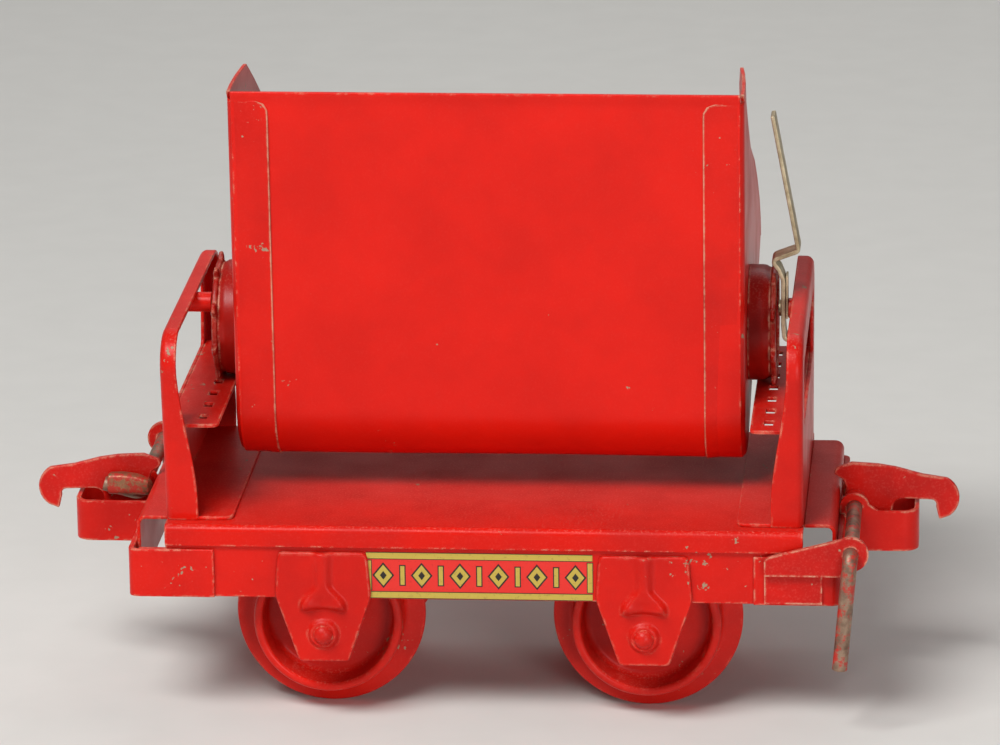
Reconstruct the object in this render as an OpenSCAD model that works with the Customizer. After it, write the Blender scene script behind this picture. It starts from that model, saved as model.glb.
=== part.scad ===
// Pressed-steel toy side-dump rail car: a four-wheeled deck carries a V-shaped
// hopper whose two toothed rockers roll along punched racks in the end frames,
// so that the hopper tips to either side. All sizes are millimetres.
// X runs along the track, Y across it and Z up; the floor is Z = 0.

/* [Deck and underframe] */
// Length of the deck
deck_l = 169; // [150:1:200]
// Width of the deck over its rolled edges
deck_w = 92; // [84:1:110]
// Height of the deck's top face above the wheel flanges
deck_clear = 4.2; // [3.5:0.1:8]
// Depth of the deck's rolled-down side edge
deck_lip = 5.7; // [4:0.1:7]
// Thickness of the pressed sheet
sheet_t = 1; // [0.8:0.05:1.2]
// Height of the side sills where they show below the deck
sill_h = 13.3; // [11:0.1:15]
// How far the end beams stand out past the deck
beam_out = 10; // [8.5:0.1:12]
// Thickness of the outer end strip
strip_t = 1.5; // [1:0.1:2]
// Length of the end strip's tabs along the sills
strip_tab = 23; // [18:0.5:26]
// How far the end shelf stops short of the deck's width
shelf_short = 16; // [12:1:30]

/* [Wheels] */
// Distance between the two axles
wheelbase = 85.2; // [80:0.2:96]
// Diameter over the wheel flanges
flange_d = 50.8; // [46:0.2:54]
// Diameter of the wheel tread
tread_d = 38.8; // [36:0.2:42]
// Distance between the outer faces of the two flanges on an axle
flange_gap = 52.8; // [50:0.2:56]
// Width of the wheel tread outside the flange
tread_w = 9.6; // [8:0.2:11]
// Diameter of the axles
axle_d = 4; // [3:0.1:4.6]
// Diameter of the domed axle heads
axle_head_d = 5.4; // [5:0.1:6]
// How far the axle guards reach below the axle's centre
guard_drop = 7.8; // [6:0.1:9]
// Width of an axle guard at its widest
guard_w = 25.6; // [22:0.2:28]

/* [End frames and racks] */
// Height of the end frames above the deck
frame_h = 52.3; // [48:0.5:60]
// How much wider than the deck an end frame is across its top
frame_over = 5; // [0:1:12]
// How much narrower than the deck an end frame is at its foot
frame_in = 9; // [4:1:16]
// Length of the foot that lies on the deck
foot_l = 17.7; // [14:0.5:20]
// Width of a frame leg as seen from the end of the car
leg_w = 9; // [7:0.5:12]
// Width of the frame's edge flange at the top
rim_top_w = 4.4; // [3.5:0.1:6]
// Width of the frame's edge flange at the foot
rim_foot_w = 8.6; // [6:0.1:9]
// How far the rack plate stops short of the deck's width
rack_short = 12; // [8:1:22]
// Width of the rack plate along the car
rack_w = 13.2; // [12:0.1:14]

/* [Hopper] */
// Room between the hopper and each end of the deck
end_room = 16.3; // [15.5:0.1:24]
// Lean of each hopper side when the hopper is upright, in degrees
side_lean = 34; // [28:1:38]
// Distance from the rocker axis to the outside of a hopper side
side_dist = 27.2; // [25:0.1:29]
// Length of a hopper side above the rocker axis, along the side
side_rise = 71.4; // [60:0.2:80]
// Drop of the rounded bottom's centre below the rocker axis
bottom_drop = 20; // [14:0.5:21]
// Length of the square-cut corner edge of the end plates
peak_edge = 27; // [20:0.5:30]
// Width of the end plate's flange over the hopper sheet
wrap_w = 10.8; // [8:0.2:13]
// How far the flange stops short of the top of the side
wrap_short = 2.5; // [1:0.1:5]
// Angle by which the hopper is tipped back at rest, in degrees
tip_angle = 32; // [0:1:40]

/* [Rockers] */
// Rolling radius of the rocker drums
rocker_r = 15.6; // [14.5:0.1:16.5]
// Number of teeth round a rocker
teeth = 9; // [8:1:10]
// Height of the teeth above the drum
tooth_h = 2; // [1.5:0.1:2.2]
// Length of the drum between the hopper and the tooth ring
drum_l = 6.1; // [5:0.1:7]
// Thickness of the tooth ring
ring_t = 1.5; // [1:0.1:2]
// Height of the rocker axis above the deck
rocker_z = 42; // [40.5:0.25:46]
// Gap between a rocker drum and the rack that it rolls along
roll_gap = 0.15; // [0.1:0.05:0.3]
// Diameter of the rocker's centre pin
rocker_pin_d = 4; // [3:0.1:5]

/* [Couplers] */
// Length of the coupler pocket beyond the end strip
pocket_l = 19.8; // [18:0.2:24]
// Width of the coupler pocket
pocket_w = 16; // [14:0.2:20]
// Height of the coupler pocket's walls
pocket_h = 11.2; // [10:0.2:13]
// Reach of the hook's tip beyond its pivot
hook_reach = 28; // [27:0.1:32]
// Thickness of the hook plate
hook_t = 1.6; // [1.2:0.1:2.2]
// Diameter of the lift rod
rod_d = 4; // [3:0.1:4.4]
// Length of the lift rod's hanging handle
handle_l = 31; // [26:0.5:36]

/* [Latch] */
// Width of the latch strip
latch_w = 7; // [5:0.2:8]
// Thickness of the latch strip
latch_t = 1; // [0.8:0.05:1.2]
// Height of the latch's top above its pivot
latch_top = 53.5; // [40:0.5:60]

/* [Fits] */
// Radial clearance of a turning pin or axle
run_fit = 0.05; // [0.02:0.01:0.1]
// Side gap between moving pieces
side_gap = 0.4; // [0.3:0.05:0.6]

/* [Hidden] */
$fn = 96;

enamel = "#d42a1c";
bare_steel = "#9a8a72";
eps = 0.01;

// Underframe
deck_z = flange_d + deck_clear;
deck_x = deck_l / 2;
deck_y = deck_w / 2;
sill_y = deck_y - sheet_t;
sill_top = deck_z - deck_lip - sheet_t;
sill_bottom = sill_top - sill_h;
strip_x = deck_x + beam_out;
shelf_x = strip_x - strip_t;
lip_r = 1.8;
bend_r = 2.4;
sill_x = shelf_x - bend_r + sheet_t;

// Wheels and guards
axle_x = wheelbase / 2;
axle_z = flange_d / 2;
guard_t = 1.2;
guard_y = sill_y + guard_t;
guard_top = sill_top - 0.3;
boss_h = 0.8;
axle_head_h = 1.8;
flange_y = flange_gap / 2;
flange_t = 1.2;
tread_y = flange_y + tread_w;
rim_t = 2.3;
hub_r = 5;

// End frames
shelf_w = deck_w - shelf_short;
frame_top_w = deck_w + frame_over;
frame_foot_w = deck_w - frame_in;
rack_l = deck_w - rack_short;
frame_x = deck_x;
web_x = frame_x - sheet_t;
frame_z = deck_z + frame_h;
corner_r = 5;
axis_z = deck_z + rocker_z;
rack_z = axis_z - rocker_r - roll_gap;
header_h = 8.3;
window_top = frame_z - header_h;
stud_d = 5.4;
stud_z = frame_z - sheet_t - stud_d / 2 - 0.1;

// Hopper and rockers
hopper_l = deck_l - 2 * end_room;
plate_x = hopper_l / 2;
sheet_x = plate_x - sheet_t;
bottom_r = side_dist - bottom_drop * sin(side_lean);
plate_dist = side_dist + sheet_t;
top_y = plate_dist * cos(side_lean) + side_rise * sin(side_lean);
top_z = -plate_dist * sin(side_lean) + side_rise * cos(side_lean);
peak_y = top_y - peak_edge * cos(side_lean);
peak_z = top_z + peak_edge * sin(side_lean);
axis_y = rocker_r * tip_angle * PI / 180;
drum_x = plate_x + drum_l;
ring_x = drum_x + ring_t;
ring_in = 3;
tooth_step = 360 / teeth;
hole_step = rocker_r * tooth_step * PI / 180;
hole_l = 4;
hole_play = 0.4;
hole_n = floor((rack_l / 2 - hole_l) / hole_step);
pin_head_r = 3.6;
pin_head_t = 1.2;
wrap_play = 0.02;

// Couplers
pocket_x = strip_x + pocket_l;
pocket_t = 1.2;
pocket_z = sill_bottom + 3.1;
pocket_top = pocket_z + pocket_h;
pivot_x = strip_x + 2.6;
pivot_z = pocket_top + 0.9;
ear_r = 4;
sleeve_r = 3;
rod_r = rod_d / 2;
rod_bend_r = 3;
tail_bend_r = 2.2;
tail_rise = 15;
arm_y = deck_y + 1.4;
arm_t = 1.2;
handle_y = arm_y + arm_t + rod_bend_r;
handle_lean = 5;
tail_l = 10;

// Latch
latch_z = stud_z;
latch_x = ring_x + 1.4;
latch_pin_r = 1.2;
latch_pin_head_r = 2.2;
leaf_t = 0.6;
leaf_x = latch_x + latch_t + 0.15;
latch_stud_x = leaf_x + leaf_t + 0.05;

// Mirrors its children to the left end of the car, or leaves them at the right
module end(left) { mirror([left ? 1 : 0, 0, 0]) children(); }

// Turns its children half a turn about Z for the left end: the couplers are
// handed, so the two ends match by rotation and not by mirror
module turned(left) { rotate([0, 0, left ? 180 : 0]) children(); }

// Extrudes a (Y, Z) outline along X, from x0 to x1
module along_x(x0, x1) {
    translate([x0, 0, 0]) rotate([90, 0, 90]) linear_extrude(height = x1 - x0) children();
}

// Extrudes an (X, Z) outline along Y, from y0 to y1
module along_y(y0, y1) {
    translate([0, y1, 0]) rotate([90, 0, 0]) linear_extrude(height = y1 - y0) children();
}

module box(low, high) { translate(low) cube(high - low); }

// Round bar along Y
module bar_y(x, z, r, y0, y1) {
    translate([x, y1, z]) rotate([90, 0, 0]) cylinder(r = r, h = y1 - y0);
}

// Round bar along X
module bar_x(y, z, r, x0, x1) {
    translate([x0, y, z]) rotate([0, 90, 0]) cylinder(r = r, h = x1 - x0);
}

// Arc of n + 1 points about a centre
function arc(c, r, a0, a1, n = 8) =
    [for (i = [0:n]) let (a = a0 + (a1 - a0) * i / n) c + r * [cos(a), sin(a)]];

// Places a (Y, Z) point of the upright hopper in the car at rest
module hopper_place() {
    translate([0, axis_y, axis_z]) rotate([-tip_angle, 0, 0]) children();
}

// ---- underframe ----

// Deck: a flat top with both long edges rolled down
module deck() {
    color(enamel) along_x(-deck_x, deck_x) difference() {
        deck_outline(deck_y, deck_z, lip_r, deck_lip);
        deck_outline(deck_y - sheet_t, deck_z - sheet_t, lip_r - sheet_t, deck_lip);
    }
}

module deck_outline(y, z, r, h) {
    polygon(concat([[-y, z - h]], arc([-y + r, z - r], r, 180, 90), arc([y - r, z - r], r, 90, 0),
        [[y, z - h]]));
}

module sill(side) {
    color(enamel) union() {
        box([-deck_x, side * (sill_y - sheet_t / 2) - sheet_t / 2, sill_bottom],
            [deck_x, side * (sill_y - sheet_t / 2) + sheet_t / 2, deck_z - lip_r]);
        box([-sill_x, side * (sill_y - sheet_t / 2) - sheet_t / 2, sill_bottom],
            [sill_x, side * (sill_y - sheet_t / 2) + sheet_t / 2, sill_top]);
    }
}

// Outer end strip: runs across the end and wraps both corners onto the sills
module end_strip(left) {
    color(enamel) end(left) translate([0, 0, sill_bottom]) linear_extrude(height = sill_h)
        difference() {
            strip_plan(strip_x, deck_y, bend_r, strip_x - strip_tab);
            strip_plan(shelf_x, sill_y, bend_r - sheet_t, strip_x - strip_tab - eps);
        }
}

module strip_plan(x, y, r, x0) {
    polygon(concat([[x0, -y]], arc([x - r, -y + r], r, -90, 0), arc([x - r, y - r], r, 0, 90),
        [[x0, y]]));
}

// End shelf: level with the deck, turned down inside the outer strip
module end_shelf(left) {
    color(enamel) end(left) union() {
        along_y(-shelf_w / 2, shelf_w / 2) difference() {
            shelf_side(shelf_x, deck_z, bend_r);
            shelf_side(shelf_x - sheet_t, deck_z - sheet_t, bend_r - sheet_t);
        }
    }
}

module shelf_side(x, z, r) {
    polygon(concat([[deck_x, sill_bottom + sheet_t], [x, sill_bottom + sheet_t]],
        arc([x - r, z - r], r, 0, 90), [[deck_x, z]]));
}

// ---- end frames ----

// Outline of the end frame, inset by a distance
module frame_outline(inset) {
    slope = (frame_top_w - frame_foot_w) / 2 / frame_h;
    k = sqrt(1 + slope * slope);
    foot = frame_foot_w / 2 - inset * k;
    top = foot + slope * (frame_h - inset);
    r = max(corner_r - inset, 0.5);
    z = frame_z - inset;
    // the corner's centre lies r below the top and r in from the sloping leg
    cy = foot + slope * (z - r - deck_z) - r * k;
    lean = atan(slope);
    polygon(concat([[-foot, deck_z]], arc([-cy, z - r], r, 180 - lean, 90),
        arc([cy, z - r], r, 90, lean), [[foot, deck_z]]));
}

// Width of the edge flange at height fraction t: wide at the foot, narrow on top
function rim_w(t) = rim_top_w + (rim_foot_w - rim_top_w) * (1 + cos(180 * min(max((t - 0.1) / 0.75, 0), 1))) / 2;

module end_frame(left) {
    color(enamel) end(left) union() {
        // web with its open window
        along_x(web_x, frame_x) difference() {
            frame_outline(0);
            intersection() {
                frame_outline(leg_w);
                translate([-frame_top_w / 2, rack_z]) square([frame_top_w, window_top - rack_z]);
            }
        }
        // flange bent inward along both legs and the top
        intersection() {
            along_x(frame_x - rim_foot_w, frame_x) difference() {
                frame_outline(0);
                frame_outline(sheet_t);
            }
            along_y(-frame_top_w, frame_top_w) polygon(concat(
                [[frame_x, deck_z]],
                [for (i = [0:16]) let (t = i / 16) [frame_x - rim_w(t), deck_z + t * frame_h]],
                [[frame_x, frame_z]]));
        }
        // foot on the deck
        foot_plate();
    }
}

module foot_plate() {
    y = frame_foot_w / 2;
    r = 2.5;
    x0 = frame_x - foot_l;
    translate([0, 0, deck_z]) linear_extrude(height = sheet_t)
        polygon(concat([[frame_x, y]], arc([x0 + r, y - r], r, 90, 180),
            arc([x0 + r, -y + r], r, 180, 270), [[frame_x, -y]]));
}

// Rack: a level plate inside the frame with a row of punched holes
module rack(left) {
    y = rack_l / 2;
    r = 2;
    x0 = web_x - rack_w;
    hole_x = (drum_x + ring_x) / 2;
    hole_w = ring_t + 2 * hole_play;
    color(enamel) end(left) translate([0, 0, rack_z - sheet_t]) linear_extrude(height = sheet_t)
        difference() {
            polygon(concat([[web_x, y]], arc([x0 + r, y - r], r, 90, 180),
                arc([x0 + r, -y + r], r, 180, 270), [[web_x, -y]]));
            for (i = [-hole_n:hole_n]) translate([hole_x - hole_w / 2, i * hole_step - hole_l / 2])
                square([hole_w, hole_l]);
        }
}

// Stud on the frame's header: it keeps the rocker from wandering endways, and at
// the latch end it is shorter and takes the latch's pivot pin
module stop_stud(left) {
    x0 = left ? ring_x + side_gap : latch_stud_x;
    color(enamel) end(left) difference() {
        bar_x(0, stud_z, stud_d / 2, x0, web_x);
        if (!left) bar_x(0, latch_z, latch_pin_r, x0 - eps, x0 + 2);
    }
}

// ---- running gear ----

module guard(left, side) {
    w = guard_w / 2;
    color(enamel) translate([left ? -axle_x : axle_x, 0, 0]) mirror([0, side > 0 ? 0 : 1, 0])
    difference() {
        union() {
            along_y(sill_y, guard_y) guard_outline(w, 1.4);
            // raised inverted-Y rib and round boss
            along_y(guard_y, guard_y + boss_h) difference() {
                rib_outline(guard_top - 0.6);
                translate([0, axle_z]) circle(r = 6.4);
            }
            bar_y(0, axle_z, 4.8, guard_y, guard_y + boss_h);
        }
        bar_y(0, axle_z, axle_d / 2 + run_fit, sill_y - eps, guard_y + boss_h + eps);
    }
}

module guard_outline(w, r) {
    top = guard_top;
    low = axle_z - guard_drop;
    mid = top - 12.4;
    polygon(concat(
        arc([w - 0.8 - r, top - r], r, 0, 90, 4), arc([-w + 0.8 + r, top - r], r, 90, 180, 4),
        [[-w, mid + 1], [-w + 0.4, mid - 1]],
        arc([-w * 0.55 + r, low + r], r, 200, 270, 4), arc([w * 0.55 - r, low + r], r, 270, 340, 4),
        [[w - 0.4, mid - 1], [w, mid + 1]]));
}

// Stem from the guard's top, spreading into two feet over the boss
module rib_outline(top) {
    stem = 2.3;
    foot = 6.2;
    polygon([[-stem, top], [stem, top], [stem, axle_z + 13], [foot, axle_z + 8.6],
        [foot, axle_z + 6.4], [4.4, axle_z + 4.4], [-4.4, axle_z + 4.4], [-foot, axle_z + 6.4],
        [-foot, axle_z + 8.6], [-stem, axle_z + 13]]);
}

// Axle with a domed head riveted over at each end
module axle(left) {
    x = left ? -axle_x : axle_x;
    y = guard_y + boss_h;
    r = axle_head_d / 2;
    dome = (r * r + axle_head_h * axle_head_h) / 2 / axle_head_h;
    color(enamel) union() {
        bar_y(x, axle_z, axle_d / 2, -y - side_gap, y + side_gap);
        for (s = [-1, 1]) intersection() {
            translate([x, s * (y + side_gap + axle_head_h - dome), axle_z]) sphere(r = dome);
            bar_y(x, axle_z, r, min(s * (y + side_gap), s * (y + side_gap + axle_head_h)),
                max(s * (y + side_gap), s * (y + side_gap + axle_head_h)));
        }
    }
}

// Pressed wheel: flange, tread, rolled rim, deep dish and hub
module wheel(left, side) {
    f = flange_d / 2;
    t = tread_d / 2;
    dish = flange_y + 1.6;
    hub_y = sill_y - side_gap;
    color(enamel) translate([left ? -axle_x : axle_x, 0, axle_z]) rotate([side > 0 ? -90 : 90, 0, 0])
        rotate_extrude() polygon(concat(
            [[axle_d / 2, flange_y - 1], [hub_r + 1, flange_y - 1], [t - rim_t, flange_y - 1]],
            arc([f - flange_t / 2, flange_y - 1 + flange_t / 2], flange_t / 2, -90, 90, 6),
            [[t + 1, flange_y - 1 + flange_t], [t, flange_y + 1.2]],
            arc([t - rim_t / 2, tread_y - rim_t / 2], rim_t / 2, 0, 180, 8),
            [[t - rim_t - 0.3, dish + 1.5], [t - rim_t - 1.8, dish], [hub_r + 1.5, dish],
                [hub_r, dish + 1.5], [hub_r, hub_y], [axle_d / 2, hub_y]]));
}

// ---- hopper ----

// Outline of the hopper's trough in the upright (Y, Z) plane about the rocker
// axis, at a distance outside the sheet's outer face and cut off below its top
module trough(out, short) {
    r = bottom_r + out;
    c = [0, -bottom_drop];
    t = [sin(side_lean), cos(side_lean)];
    n = [cos(side_lean), -sin(side_lean)];
    q = (side_dist + out) * n + (side_rise - short) * t;
    polygon(concat([q, [-q[0], q[1]]], arc(c, r, 180 + side_lean, 360 - side_lean, 24)));
}

module hopper_sheet() {
    color(enamel) hopper_place() along_x(-sheet_x, sheet_x) difference() {
        trough(0, 0);
        trough(-sheet_t, -sheet_t);
    }
}

// End plate: peaked plate with a flange that wraps round the outside of the sheet
module hopper_end(left) {
    color(enamel) hopper_place() end(left) difference() {
        union() {
            along_x(sheet_x, plate_x) {
                trough(sheet_t, 0);
                polygon([[-top_y, top_z], [-peak_y, peak_z], [peak_y, peak_z], [top_y, top_z]]);
            }
            along_x(plate_x - wrap_w, plate_x) difference() {
                trough(sheet_t, wrap_short);
                trough(wrap_play, -sheet_t);
            }
        }
        bar_x(0, 0, rocker_pin_d / 2 + run_fit, sheet_x - eps, plate_x + eps);
    }
}

// Rocker: a shallow cup against the end plate with a toothed ring at its mouth
module rocker(left) {
    color(enamel) hopper_place() end(left) difference() {
        union() {
            bar_x(0, 0, rocker_r, plate_x, drum_x);
            along_x(drum_x, ring_x) union() {
                circle(r = rocker_r);
                for (i = [0:teeth - 1]) rotate(-90 + i * tooth_step) tooth();
            }
        }
        bar_x(0, 0, rocker_r - sheet_t, plate_x + sheet_t, drum_x);
        bar_x(0, 0, rocker_r - ring_in, drum_x - eps, ring_x + eps);
        bar_x(0, 0, rocker_pin_d / 2 + run_fit, plate_x - eps, plate_x + sheet_t + eps);
    }
}

// Tooth pointing along +X from the drum's rim
module tooth() {
    polygon([[rocker_r - 1, -1.1], [rocker_r, -1.1], [rocker_r + tooth_h, -0.7],
        [rocker_r + tooth_h, 0.7], [rocker_r, 1.1], [rocker_r - 1, 1.1]]);
}

// Headed pin through the centre of the rocker and the end plate
module rocker_pin(left) {
    color(bare_steel) hopper_place() end(left) union() {
        bar_x(0, 0, rocker_pin_d / 2, sheet_x - pin_head_t, plate_x + sheet_t + pin_head_t);
        bar_x(0, 0, pin_head_r, sheet_x - pin_head_t, sheet_x);
        bar_x(0, 0, pin_head_r, plate_x + sheet_t, plate_x + sheet_t + pin_head_t);
    }
}

// ---- couplers ----

// Pocket: a strip bent to a U, open above and below, with an ear for the rod
module pocket(left) {
    r = 4.5;
    y = pocket_w / 2;
    color(enamel) turned(left) difference() {
        union() {
            translate([0, 0, pocket_z]) linear_extrude(height = pocket_h) difference() {
                strip_plan(pocket_x, y, r, strip_x);
                strip_plan(pocket_x - pocket_t, y - pocket_t, r - pocket_t, strip_x - eps);
            }
            along_y(-y, -y + pocket_t) ear_outline();
        }
        bar_y(pivot_x, pivot_z, rod_r + run_fit, -y - eps, 0);
    }
}

module ear_outline() {
    difference() {
        union() {
            translate([pivot_x, pivot_z]) circle(r = ear_r);
            polygon([[shelf_x, pocket_z + 1], [pivot_x + ear_r + 2.4, pocket_z + 1],
                [pivot_x + ear_r + 2.4, pocket_top], [pivot_x + ear_r - 0.6, pivot_z + 1.2],
                [pivot_x - ear_r + 0.2, pivot_z + 0.6], [shelf_x, pocket_top + 0.4]]);
        }
        // clear of the outer end strip
        translate([shelf_x - 1, pocket_z]) square([strip_x - shelf_x + 1, sill_top - pocket_z]);
    }
}

// Hook: flat plate with a rounded nose, a barb below it and a broad shank
module hook(left) {
    color(enamel) turned(left) difference() {
        along_y(-hook_t / 2, hook_t / 2) translate([pivot_x, pivot_z]) hook_outline();
        bar_y(pivot_x, pivot_z, rod_r, -hook_t, hook_t);
    }
}

// Outline about the pivot: back, top edge, nose, barb, throat and shank
module hook_outline() {
    tip = hook_reach;
    polygon(concat(
        arc([-4.1, 7.6], 1.6, 200, 100, 4), [[-1, 10.4], [6, 10], [11, 9.2], [tip - 10, 7.3]],
        arc([tip - 6.2, 0.8], 6.2, 62, -55, 10), [[tip - 5.4, -5.3]],
        arc([tip - 7.6, -1.2], 1.4, -20, 90, 4), [[tip - 14, 0.4]],
        arc([tip - 15.4, -2], 2.4, 90, 180, 4), [[tip - 18.4, -5.4]],
        [[4, -6.2], [0.6, -5.4], [-1.8, -2.4], [-2.9, -0.8], [-2.9, 1.4], [-2.4, 3.2], [-3.2, 5.4]]));
}

// Sleeve on the rod between the hook and the pocket's near ear
module sleeve(left) {
    y = pocket_w / 2 - pocket_t;
    color(enamel) turned(left) difference() {
        bar_y(pivot_x, pivot_z, sleeve_r, -y + 0.2, -hook_t / 2);
        bar_y(pivot_x, pivot_z, rod_r, -y, 0);
    }
}

// Lift rod: handle, cross shaft and a tail laid along the far face of the hook
module lift_rod(left) {
    y1 = hook_t / 2 + rod_r;
    color(bare_steel) turned(left) union() {
        bar_y(pivot_x, pivot_z, rod_r, rod_bend_r - handle_y, y1 - tail_bend_r);
        translate([pivot_x, -handle_y, pivot_z]) rotate([0, handle_lean, 0])
            rod_end(rod_bend_r, handle_l);
        translate([pivot_x, y1, pivot_z]) rotate([0, -90 - tail_rise, 0]) mirror([0, 1, 0])
            rod_end(tail_bend_r, tail_l);
    }
}

// Quarter bend from +Y to straight down, and the straight end below it
module rod_end(r, l) {
    translate([0, r, -r]) rotate([0, 90, 0]) rotate_extrude(angle = 90, start = 180)
        translate([r, 0]) circle(r = rod_r);
    translate([0, 0, -l]) cylinder(r = rod_r, h = l - r);
}

// Bracket: plate on the end strip's tab with an offset arm and a round eye
module bracket(left) {
    x0 = strip_x - 20.1;
    x1 = strip_x - 4.9;
    z1 = sill_top - 3.4;
    color(enamel) turned(left) difference() {
        union() {
            box([x0, -deck_y - sheet_t, sill_bottom + 0.8], [x1, -deck_y, z1]);
            box([x0, -arm_y - arm_t, z1 - sheet_t], [x1, -deck_y - sheet_t, z1]);
            along_y(-arm_y - arm_t, -arm_y) union() {
                polygon([[x0, z1 - sheet_t], [pivot_x - 3, z1 - sheet_t], [pivot_x + 1, pivot_z - 4.6],
                    [pivot_x, pivot_z + 4.7], [x0 + 1, z1 + 4.2], [x0, z1 + 3.2]]);
                translate([pivot_x, pivot_z]) circle(r = 4.7);
            }
        }
        bar_y(pivot_x, pivot_z, rod_r + run_fit, -arm_y - arm_t - eps, -arm_y + eps);
    }
}

// ---- latch ----

// Latch: a strip bent to its side profile, pivoted on the right-hand stud
module latch_lever() {
    color(bare_steel) difference() {
        along_y(-latch_w / 2, latch_w / 2) latch_outline(latch_t);
        bar_x(0, latch_z, latch_pin_r + run_fit, latch_x - 2, latch_x + latch_t + 1);
    }
}

// Side profile from the top of the handle down to the hooked foot
module latch_outline(t) {
    top = latch_z + latch_top;
    jog = latch_z + 11.6;
    x = latch_x;
    polygon([[x - 2.8, top], [x - 2.8 + t, top], [x + 5.6 + t, jog + 2.2], [x + 5.3 + t, jog - t],
        [x + t, jog - t], [x + t, latch_z - 7], [x + t + 0.6, latch_z - 10.2],
        [x + t + 2.6, latch_z - 11], [x + t + 2.6, latch_z - 11 - t], [x + 1, latch_z - 11 - t],
        [x + 0.3, latch_z - 10], [x, latch_z - 7], [x, jog], [x + 5.3, jog], [x + 5.3, jog + 1.6]]);
}

module latch_pin() {
    color(bare_steel) union() {
        bar_x(0, latch_z, latch_pin_r, latch_x - 0.8, latch_stud_x + 2);
        bar_x(0, latch_z, latch_pin_head_r, latch_x - 0.8, latch_x - 0.05);
    }
}

// Leaf between the latch and the stud
module latch_spring() {
    color(bare_steel) difference() {
        along_y(-latch_w / 2 + 1, latch_w / 2 - 1) polygon([
            [leaf_x, latch_z + 9.5], [leaf_x + leaf_t, latch_z + 9.5],
            [leaf_x + leaf_t, latch_z - 2.4], [leaf_x, latch_z - 2.4]]);
        bar_x(0, latch_z, latch_pin_r, leaf_x - eps, leaf_x + leaf_t + eps);
    }
}

deck();
sill(-1);  // sill_front
sill(1);  // sill_rear
end_strip(true);  // end_strip_left
end_strip(false);  // end_strip_right
end_shelf(true);  // end_shelf_left
end_shelf(false);  // end_shelf_right
end_frame(true);  // end_frame_left
end_frame(false);  // end_frame_right
rack(true);  // rack_left
rack(false);  // rack_right
stop_stud(true);  // stop_stud_left
stop_stud(false);  // stop_stud_right
guard(true, -1);  // guard_front_left
guard(false, -1);  // guard_front_right
guard(true, 1);  // guard_rear_left
guard(false, 1);  // guard_rear_right
pocket(true);  // pocket_left
pocket(false);  // pocket_right
bracket(true);  // bracket_left
bracket(false);  // bracket_right
axle(true);  // axle_left
wheel(true, -1);  // wheel_front_left
wheel(true, 1);  // wheel_rear_left
axle(false);  // axle_right
wheel(false, -1);  // wheel_front_right
wheel(false, 1);  // wheel_rear_right
hook(true);  // hook_left
sleeve(true);  // sleeve_left
lift_rod(true);  // lift_rod_left
hook(false);  // hook_right
sleeve(false);  // sleeve_right
lift_rod(false);  // lift_rod_right
hopper_sheet();
hopper_end(true);  // hopper_end_left
hopper_end(false);  // hopper_end_right
rocker(true);  // rocker_left
rocker(false);  // rocker_right
rocker_pin(true);  // rocker_pin_left
rocker_pin(false);  // rocker_pin_right
latch_lever();
latch_pin();
latch_spring();
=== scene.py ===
"""Pressed-steel toy side-dump rail car in bright red enamel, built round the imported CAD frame."""

import math

import bmesh
import bpy
from mathutils import Matrix, Vector


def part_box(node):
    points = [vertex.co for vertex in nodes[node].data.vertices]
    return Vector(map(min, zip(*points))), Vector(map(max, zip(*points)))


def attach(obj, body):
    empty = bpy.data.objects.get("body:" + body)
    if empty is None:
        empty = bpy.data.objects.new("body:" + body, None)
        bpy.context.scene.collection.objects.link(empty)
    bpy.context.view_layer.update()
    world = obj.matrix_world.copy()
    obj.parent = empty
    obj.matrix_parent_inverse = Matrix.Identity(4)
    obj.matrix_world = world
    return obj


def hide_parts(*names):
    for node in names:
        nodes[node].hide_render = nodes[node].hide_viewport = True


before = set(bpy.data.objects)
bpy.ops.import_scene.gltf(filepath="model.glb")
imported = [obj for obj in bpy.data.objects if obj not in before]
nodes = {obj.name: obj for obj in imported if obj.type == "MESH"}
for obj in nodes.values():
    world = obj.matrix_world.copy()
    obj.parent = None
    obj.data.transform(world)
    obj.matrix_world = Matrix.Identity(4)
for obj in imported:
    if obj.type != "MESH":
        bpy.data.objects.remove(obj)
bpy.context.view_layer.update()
MM = 0.001
scene = bpy.context.scene


# ---- Camera ----
# A long lens a little above the deck, almost square to the car's side, with a
# slight roll. It looks at a fixed point near the middle of the hopper.
LENS = 222.25
VIEW_AZIMUTH, VIEW_ELEVATION, VIEW_ROLL = (math.radians(a) for a in (4.88, 16.50, -0.74))
VIEW_DISTANCE = 1.66276
VIEW_TARGET = Vector((0.00135, 0.0, 0.08456))

back = Vector((math.sin(VIEW_AZIMUTH) * math.cos(VIEW_ELEVATION),
               -math.cos(VIEW_AZIMUTH) * math.cos(VIEW_ELEVATION), math.sin(VIEW_ELEVATION)))
right = Vector((math.cos(VIEW_AZIMUTH), math.sin(VIEW_AZIMUTH), 0))
up = back.cross(right)
across = math.cos(VIEW_ROLL) * right + math.sin(VIEW_ROLL) * up
upward = math.cos(VIEW_ROLL) * up - math.sin(VIEW_ROLL) * right
turn = Matrix((across, upward, back)).transposed()
lens = bpy.data.cameras.new("camera")
lens.lens, lens.sensor_width = LENS, 36
lens.clip_start, lens.clip_end = 0.05, 20
camera = bpy.data.objects.new("camera", lens)
camera.matrix_world = Matrix.Translation(VIEW_TARGET + VIEW_DISTANCE * back) @ turn.to_4x4()
scene.collection.objects.link(camera)
scene.camera = camera


# ---- Studio ----
# A pale matt floor that sweeps up behind the car, one broad soft light above
# and in front of it, a weaker one low at the front right and a faint one behind.
def srgb(code, alpha=1.0):
    """A hex sRGB colour as linear numbers."""
    parts = [int(code[i:i + 2], 16) / 255 for i in (1, 3, 5)]
    return (*[c / 12.92 if c <= 0.04045 else ((c + 0.055) / 1.055) ** 2.4 for c in parts], alpha)


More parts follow.
